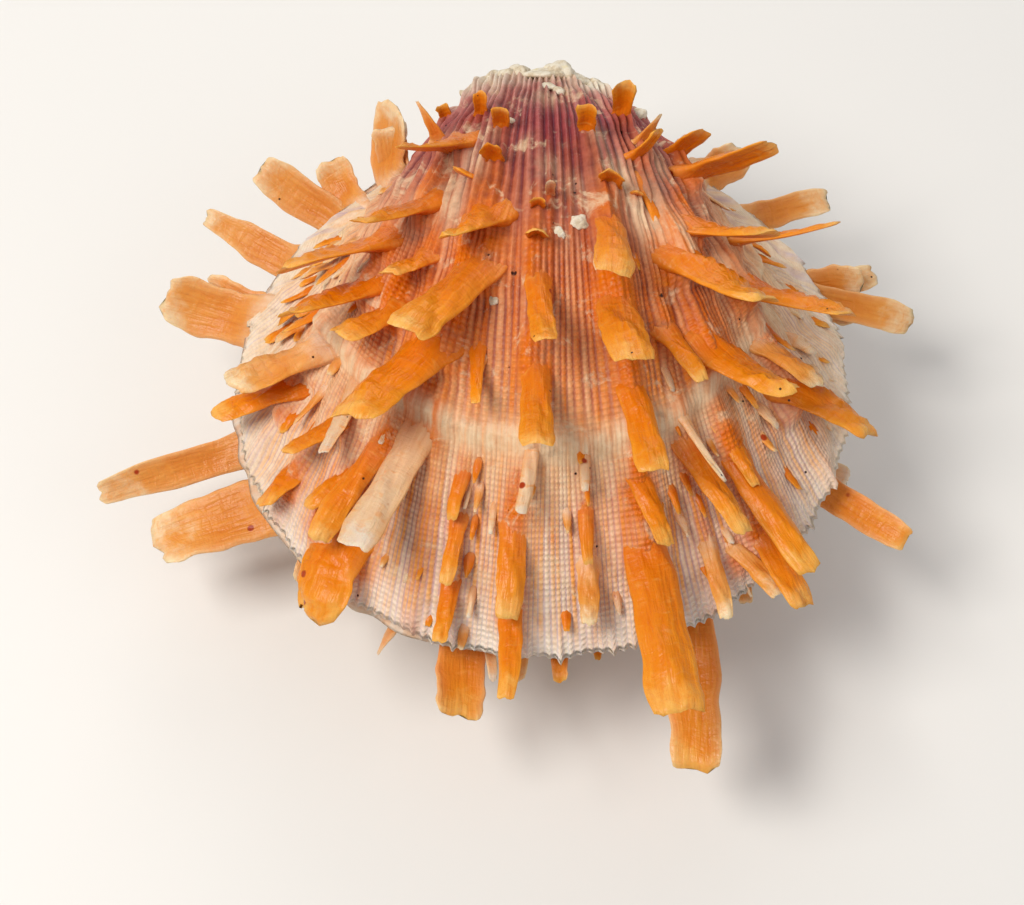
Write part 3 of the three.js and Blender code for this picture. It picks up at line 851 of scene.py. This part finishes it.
def ribbed_calcite(name, colours, ramps, roughness):
    """Prismatic calcite laid down in ribs and beads: satin, a little translucent, stained in bands."""
    material, tree = new_material(name)
    growth = add(tree, "Attribute", attribute_name="growth").outputs["Vector"]
    rib, distance, crest = add(tree, "SeparateXYZ", {0: growth}).outputs
    stain = add(tree, "Attribute", attribute_name="stain").outputs["Vector"]
    rib_stain, pigment, band = add(tree, "SeparateXYZ", {0: stain}).outputs
    place = add(tree, "TexCoord").outputs["Object"]
    patches, mottle, wear, grime = clouds(
        tree, place, (9, 3, 0.6, 0), (1.5, 3, 0.65, 0), (5, 6, 0.7, 0.6), (7, 8, 0.75, 0))
    # The colours of crests and grooves go by growth share, and drift with the patches.
    share = add(tree, "Math", {0: distance, 1: SHELL_LENGTH}, operation="DIVIDE")
    drift = add(tree, "Math", {0: patches, 1: 0.14, 2: -0.07}, operation="MULTIPLY_ADD")
    stage = add(tree, "Math", {0: share, 1: drift}, operation="ADD")
    stained, pale, groove = (add(tree, "ValToRGB", {0: stage}, stops=stops) for stops in ramps)
    # Each riblet has its own share of pigment, which comes and goes along it.
    lengthwise = add(tree, "CombineXYZ", {0: rib, 1: share, 2: 0.0})
    stretched = add(tree, "VectorMath", {0: lengthwise, 1: (0.9, 9.0, 1.0)}, operation="MULTIPLY")
    streaks = add(tree, "TexNoise", {
        "Vector": stretched, "Scale": 1.0, "Detail": 3.0, "Roughness": 0.6})
    varied = add(tree, "Math", {0: streaks, 1: 1.8, 2: -0.9}, operation="MULTIPLY_ADD")
    amount = add(tree, "Math", {0: pigment, 1: varied}, operation="ADD", use_clamp=True)
    # The groove colour fills the low half of each groove: partly the groove's own tone, partly painted
    # shade in the recess.
    cover = add(tree, "MapRange", {"Value": crest, "From Min": 0.0, "From Max": 0.5})
    # Orange on the spine ribs and up the fins to the spines.
    strength = add(tree, "Math", {0: patches, 1: 2.4, 2: -0.5}, operation="MULTIPLY_ADD")
    rib_orange = add(tree, "Math", {0: rib_stain, 1: strength}, operation="MULTIPLY", use_clamp=True)
    # Paler, smeared calcite on the growth step.
    smear = add(tree, "MapRange", {
        "Value": streaks, "From Min": 0.36, "From Max": 0.56, "To Min": 0.15, "To Max": 0.9})
    smeared = add(tree, "Math", {0: band, 1: smear}, operation="MULTIPLY", use_clamp=True)
    # Chalky worn patches that show the unstained calcite, and soft patches of grey-brown dirt.
    worn = add(tree, "MapRange", {"Value": wear, "From Min": 0.56, "From Max": 0.66, "To Max": 0.6})
    dirty = add(tree, "MapRange", {"Value": grime, "From Min": 0.56, "From Max": 0.72, "To Max": 0.55})
    # Round holes up to 1 mm across, bored by worms and sponges, painted near black as the shade inside
    # them; the bump dents them too.
    bored = speckle(tree, place, 6.0, 0.5, 0.18)
    pricked = speckle(tree, place, 3.5, 0.24, 0.26)
    holes = add(tree, "Math", {0: bored, 1: pricked}, operation="MAXIMUM")
    crests = lay_over(tree, pale, (amount, stained))
    colour = lay_over(
        tree, groove, (cover, crests), (rib_orange, colours.orange), (smeared, colours.cream),
        (worn, colours.cream), (dirty, srgb("8C7866")), (holes, srgb("3A1E18")))
    tinted = lay_over(tree, colour, (0.7, mottle), blend_type="SOFT_LIGHT")
    # Bead rows along every riblet, which the old part near the beak and the growth step don't have.
    turns = add(tree, "Math", {0: distance, 1: 2 * math.pi / BEAD_PITCH}, operation="MULTIPLY")
    wave = add(tree, "Math", {0: turns}, operation="SINE")
    beads = add(tree, "MapRange", {"Value": share, "From Min": 0.46, "From Max": 0.72})
    off_step = add(tree, "MapRange", {"Value": band, "From Max": 0.6, "To Min": 1.0, "To Max": 0.15})
    for factor in (off_step, patches, 1.7, cover, wave):
        beads = add(tree, "Math", {0: beads, 1: factor}, operation="MULTIPLY")
    # The beads are painted into the colour as well: lighter on each bead and darker between, as painted
    # shade.
    shade = add(tree, "MapRange", {
        "Value": beads, "From Min": -1.0, "From Max": 1.0, "To Min": 0.92, "To Max": 1.05})
    gloss = add(tree, "MapRange", {
        "Value": mottle, "To Min": roughness - 0.1, "To Max": roughness + 0.15})
    low_beads = add(tree, "Math", {0: beads, 1: 0.65}, operation="MULTIPLY")
    grit = add(tree, "Math", {0: mottle, 1: 1.5, 2: low_beads}, operation="MULTIPLY_ADD")
    pitted = add(tree, "Math", {0: holes, 1: -3.0, 2: grit}, operation="MULTIPLY_ADD")
    bump = add(tree, "Bump", {"Height": pitted, "Strength": 0.7, "Distance": 0.2 * MM})
    return finish_material(material, {
        "Base Color": lay_over(tree, tinted, (1.0, shade), blend_type="MULTIPLY"),
        "Roughness": gloss, "Normal": bump, "IOR": 1.55, "Specular IOR Level": 0.22,
        "Subsurface Weight": 0.06, "Subsurface Radius": (0.9, 0.5, 0.3), "Subsurface Scale": 1.2 * MM})


def waxy_spines(name, colours, gutter_shade_colour, edge_colour):
    """Spine calcite: dense and waxy, with lengthwise striae, so it takes small sharp highlights."""
    material, tree = new_material(name)
    blade = add(tree, "Attribute", attribute_name="blade").outputs["Vector"]
    across, along, tone = add(tree, "SeparateXYZ", {0: blade}).outputs
    grain = add(tree, "Attribute", attribute_name="grain").outputs["Vector"]
    _, _, depth = add(tree, "SeparateXYZ", {0: grain}).outputs
    place = add(tree, "TexCoord").outputs["Object"]
    # Striae about 0.7 mm apart that run several millimetres along the spine.
    lengthwise = add(tree, "Mapping", {"Vector": grain, "Scale": (1.4, 0.22, 1.0)})
    striae = add(tree, "TexNoise", {
        "Vector": lengthwise, "Scale": 1.0, "Detail": 2.5, "Roughness": 0.5})
    # Short growth wrinkles across the spine, about 0.8 mm apart.
    crosswise = add(tree, "Mapping", {"Vector": grain, "Scale": (0.35, 1.3, 1.0)})
    wrinkles = add(tree, "TexNoise", {
        "Vector": crosswise, "Scale": 1.0, "Detail": 3.0, "Roughness": 0.55, "Distortion": 0.6})
    cloud, = clouds(tree, place, (4.5, 5, 0.65, 0.3))
    # Three runs of colour from root to tip, and the spine's tone picks between them.
    wander = add(tree, "Math", {0: cloud, 1: 0.6, 2: -0.3}, operation="MULTIPLY_ADD")
    reach = add(tree, "Math", {0: along, 1: wander}, operation="ADD")
    orange, peach, pale = (add(tree, "ValToRGB", {0: reach}, stops=stops) for stops in (
        ((0.0, "D88E52"), (0.12, "DA7A1E"), (0.30, colours.orange), (0.66, "DE7800"), (0.86, "E2860A"),
         (1.0, "E8A848")),
        ((0.0, "E4CDB4"), (0.18, "E4BC98"), (0.40, colours.peach), (0.62, "D8842C"), (0.82, "DE9A48"),
         (1.0, "E8D0A4")),
        ((0.0, "DA9E6E"), (0.25, "DEAA7C"), (0.6, "DEBC94"), (0.85, colours.cream), (1.0, "DCD0BA"))))
    to_peach = add(tree, "Math", {0: tone, 1: 2.0}, operation="MULTIPLY", use_clamp=True)
    to_pale = add(tree, "Math", {0: tone, 1: 2.0, 2: -1.0}, operation="MULTIPLY_ADD", use_clamp=True)
    # Thin edges let light through and look yellower.
    edge = add(tree, "Math", {0: across, 1: 4.0}, operation="POWER")
    outer = add(tree, "Math", {0: along, 1: 0.6}, operation="MULTIPLY")
    thin = add(tree, "Math", {0: edge, 1: outer}, operation="MULTIPLY", use_clamp=True)
    # The gutter of a spine is painted darker as shade in its hollow, most of all near the root.
    gutter = add(tree, "Math", {0: depth, 1: 10.0}, operation="MODULO")
    rootward = add(tree, "MapRange", {
        "Value": reach, "From Min": 0.45, "From Max": 1.0, "To Min": 0.85, "To Max": 0.25})
    gutter_shade = add(tree, "Math", {0: gutter, 1: rootward}, operation="MULTIPLY", use_clamp=True)
    # Scuffs a few millimetres long, dark red stains, and pinprick holes painted dark brown as the shade
    # inside them.
    scuffs = add(tree, "MapRange", {
        "Value": wrinkles, "From Min": 0.56, "From Max": 0.72, "To Max": 0.6})
    stains = speckle(tree, place, 5.0, 0.7, 0.12)
    pricked = speckle(tree, place, 3.0, 0.24, 0.18)
    colour = lay_over(
        tree, orange, (to_peach, peach), (to_pale, pale), (thin, edge_colour), (gutter_shade, gutter_shade_colour),
        (scuffs, srgb("E0903C")), (stains, srgb("A2380F")), (pricked, srgb("4A2110")))
    gloss = add(tree, "MapRange", {"Value": striae, "To Min": 0.15, "To Max": 0.5})
    fine = add(tree, "Math", {0: wrinkles, 1: 0.6, 2: striae}, operation="MULTIPLY_ADD")
    lumpy = add(tree, "Math", {0: cloud, 1: 0.8, 2: fine}, operation="MULTIPLY_ADD")
    pitted = add(tree, "Math", {0: pricked, 1: -0.8, 2: lumpy}, operation="MULTIPLY_ADD")
    bump = add(tree, "Bump", {"Height": pitted, "Strength": 0.5, "Distance": 0.6 * MM})
    return finish_material(material, {
        "Base Color": lay_over(tree, colour, (0.4, striae), blend_type="SOFT_LIGHT"),
        "Roughness": gloss, "Normal": bump, "IOR": 1.55, "Specular IOR Level": 0.2,
        "Subsurface Weight": 0.10, "Subsurface Radius": (1.0, 0.45, 0.15), "Subsurface Scale": 1.5 * MM})


def chalky_crust():
    """Worn beak and limy crusts: unpolished chalk, dead matt, cream with yellow and grey dirt."""
    material, tree = new_material("chalky_crust")
    place = add(tree, "TexCoord").outputs["Object"]
    cloud, = clouds(tree, place, (2.2, 6, 0.7, 0))
    colour = add(tree, "ValToRGB", {0: cloud}, stops=(
        (0.30, "9A8672"), (0.42, "CDBB9C"), (0.55, "E2D8C4"), (0.72, "D9C896")))
    bump = add(tree, "Bump", {"Height": cloud, "Strength": 0.8, "Distance": 0.5 * MM})
    return finish_material(material, {"Base Color": colour, "Normal": bump, "Roughness": 0.75})


def studio_floor(colours):
    """Matt painted board: even and pale, with a faint tooth so that it doesn't look like a void."""
    material, tree = new_material("matt_painted_board")
    place = add(tree, "TexCoord").outputs["Object"]
    tooth = add(tree, "TexNoise", {"Vector": place, "Scale": 1 / (2 * MM)})
    bump = add(tree, "Bump", {"Height": tooth, "Strength": 0.05, "Distance": 0.1 * MM})
    return finish_material(material, {"Base Color": colours.floor, "Normal": bump, "Roughness": 0.9})


# Colours along a valve by growth share: riblets full of pigment, riblets with little, and grooves, which
# are darker, partly their own lilac-purple tone and partly painted shade.
UPPER_RAMPS = (
    ((0.26, "DCC8AE"), (0.33, "AC5C52"), (0.40, "8C363A"), (0.48, "92402E"), (0.55, "B05024"),
     (0.64, "CC6420"), (0.73, "DE7E2A"), (0.80, "E6AE76"), (0.86, "EA963E"), (0.94, "EEAA5C"),
     (1.0, "EEDCC8")),
    ((0.26, "E2D6C0"), (0.33, "C48A7C"), (0.40, "A85452"), (0.50, "B8705A"), (0.58, "D08E68"),
     (0.68, "DC9A68"), (0.75, "E2AC7C"), (0.80, "E6C49C"), (0.88, "E8C8AA"), (0.95, "E8D0B6"),
     (1.0, "EADCC8")),
    ((0.26, "B49A82"), (0.33, "80403E"), (0.40, "641C2C"), (0.50, "6A2428"), (0.60, "84382C"),
     (0.70, "A85A40"), (0.78, "C08A66"), (0.85, "BC8E88"), (0.94, "BC9EA4"), (1.0, "DCD0CA")),
)
LOWER_RAMPS = (
    ((0.0, "D2B89C"), (0.5, "D2A880"), (0.75, "D6A276"), (0.92, "D8AC84"), (1.0, "D6B090")),
    ((0.0, "DACABA"), (0.5, "DAC4AE"), (0.8, "DAC4B0"), (1.0, "DCC8B4")),
    ((0.0, "AE9280"), (0.5, "B29082"), (0.8, "B89A8A"), (1.0, "BC9E8A")),
)


# ---- Operators ------------------------------------------------------------------------------

class SHELL_OT_upper_valve(bpy.types.Operator):
    """Build the upper valve's ribbed wall"""

    bl_idname = "shell.upper_valve"
    bl_label = "Upper valve"

    def execute(self, context):
        colours = context.scene.shell_colours
        material = ribbed_calcite("ribbed_calcite_upper", colours, UPPER_RAMPS, 0.42)
        mesh = upper_wall(context.scene.shell_sizes)
        finish_piece("upper_valve_wall", mesh, material, "upper_shell", "upper_valve")
        return {"FINISHED"}


class SHELL_OT_upper_spines(bpy.types.Operator):
    """Build the upper valve's spines"""

    bl_idname = "shell.upper_spines"
    bl_label = "Upper spines"

    def execute(self, context):
        colours = context.scene.shell_colours
        # CC6204 is the painted shade in the gutters of the orange spines.
        material = waxy_spines("waxy_calcite_orange", colours, srgb("CC6204"), srgb("ECA236"))
        rows = spine_list(UPPER, UPPER_SPINES) + small_thorns(11)
        mesh = spine_mesh("upper_valve_spines", rows, 100)
        finish_piece("upper_valve_spines", mesh, material, "upper_shell", "upper_valve")
        return {"FINISHED"}


class SHELL_OT_crusts(bpy.types.Operator):
    """Build the worn beak lumps and chalky crusts"""

    bl_idname = "shell.crusts"
    bl_label = "Crusts"

    def execute(self, context):
        mesh = crust_mesh("upper_valve_crusts", CRUSTS, 31)
        material = chalky_crust()
        finish_piece("upper_valve_crusts", mesh, material, "upper_shell", "upper_valve")
        return {"FINISHED"}


class SHELL_OT_lower_valve(bpy.types.Operator):
    """Build the lower valve's frilled wall with its flat scar"""

    bl_idname = "shell.lower_valve"
    bl_label = "Lower valve"

    def execute(self, context):
        colours = context.scene.shell_colours
        material = ribbed_calcite("ribbed_calcite_lower", colours, LOWER_RAMPS, 0.5)
        mesh = lower_wall(context.scene.shell_sizes)
        finish_piece("lower_valve_wall", mesh, material, "lower_shell", "lower_valve")
        return {"FINISHED"}


class SHELL_OT_lower_spines(bpy.types.Operator):
    """Build the lower valve's spines"""

    bl_idname = "shell.lower_spines"
    bl_label = "Lower spines"

    def execute(self, context):
        colours = context.scene.shell_colours
        # D47C28 is the painted shade in the gutters of the peach spines.
        material = waxy_spines("waxy_calcite_peach", colours, srgb("D47C28"), srgb("F0D4A8"))
        rows = spine_list(LOWER, LOWER_SPINES, UNDER_RINGS)
        mesh = spine_mesh("lower_valve_spines", rows, 400)
        finish_piece("lower_valve_spines", mesh, material, "lower_shell", "lower_valve")
        return {"FINISHED"}


class SHELL_OT_stage(bpy.types.Operator):
    """Add the floor, the soft lights and the camera"""

    bl_idname = "shell.stage"
    bl_label = "Stage"

    def execute(self, context):
        scene = context.scene
        settings = scene.shell_stage
        bm = bmesh.new()
        bmesh.ops.create_grid(bm, x_segments=1, y_segments=1, size=3.0)
        mesh = bpy.data.meshes.new("floor")
        bm.to_mesh(mesh)
        bm.free()
        mesh.materials.append(studio_floor(scene.shell_colours))
        floor = bpy.data.objects.new("floor", mesh)
        scene.collection.objects.link(floor)
        for name, place, size, power, colour in (
                ("key", (-0.35, -0.15, 0.60), 0.30, 3.9, (1.0, 0.97, 0.93)),
                ("fill", (0.50, -0.30, 0.45), 0.60, 1.0, (0.95, 0.97, 1.0)),
                ("back", (0.05, 0.55, 0.40), 0.40, 1.2, (1.0, 1.0, 1.0))):
            light = bpy.data.lights.new(name, "AREA")
            light.size = size
            light.energy = power
            light.color = colour
            lamp = bpy.data.objects.new(name, light)
            lamp.location = place
            lamp.rotation_euler = (-lamp.location).to_track_quat("-Z", "Y").to_euler()
            scene.collection.objects.link(lamp)
        world = bpy.data.worlds.new("studio")
        world.use_nodes = True
        world.node_tree.nodes["Background"].inputs["Color"].default_value = (0.9, 0.92, 0.95, 1.0)
        world.node_tree.nodes["Background"].inputs["Strength"].default_value = 0.36
        scene.world = world
        camera_data = bpy.data.cameras.new("camera")
        camera_data.lens = settings.lens
        camera = bpy.data.objects.new("camera", camera_data)
        target = np.array([-0.006, HINGE_Y * MM - 0.059, SEAM_Z * MM - 0.004])
        back = np.array([0, -math.cos(settings.elevation), math.sin(settings.elevation)])
        camera.location = target + settings.distance * back
        camera.rotation_euler = (math.pi / 2 - settings.elevation, 0, 0)
        scene.collection.objects.link(camera)
        scene.camera = camera
        scene.view_settings.view_transform = "Standard"
        return {"FINISHED"}


class SHELL_PT_panel(bpy.types.Panel):
    """Builds the shell piece by piece."""

    bl_label = "Spiny oyster shell"
    bl_idname = "SHELL_PT_panel"
    bl_space_type = "VIEW_3D"
    bl_region_type = "UI"
    bl_category = "Shell"

    def draw(self, context):
        scene = context.scene
        for group in (scene.shell_sizes, scene.shell_colours, scene.shell_stage):
            for key in group.bl_rna.properties.keys():
                if key not in ("rna_type", "name"):
                    self.layout.prop(group, key)
        for operator in OPERATORS:
            self.layout.operator(operator.bl_idname)


GROUPS = {"shell_sizes": ShellSizes, "shell_colours": ShellColours, "shell_stage": StageSettings}
OPERATORS = (
    SHELL_OT_stage, SHELL_OT_upper_valve, SHELL_OT_upper_spines, SHELL_OT_crusts, SHELL_OT_lower_valve,
    SHELL_OT_lower_spines)


def register():
    """Registers the groups, operators and panel."""
    for cls in (*GROUPS.values(), *OPERATORS, SHELL_PT_panel):
        bpy.utils.register_class(cls)
    for name, group in GROUPS.items():
        setattr(bpy.types.Scene, name, PointerProperty(type=group))


def unregister():
    """Takes them out again."""
    for name in GROUPS:
        delattr(bpy.types.Scene, name)
    for cls in (SHELL_PT_panel, *reversed(OPERATORS), *reversed(tuple(GROUPS.values()))):
        bpy.utils.unregister_class(cls)


def main():
    """Builds everything in order."""
    register()
    bpy.ops.shell.stage()
    bpy.ops.shell.upper_valve()
    bpy.ops.shell.upper_spines()
    bpy.ops.shell.crusts()
    bpy.ops.shell.lower_valve()
    bpy.ops.shell.lower_spines()


if __name__ == "__main__":
    main()
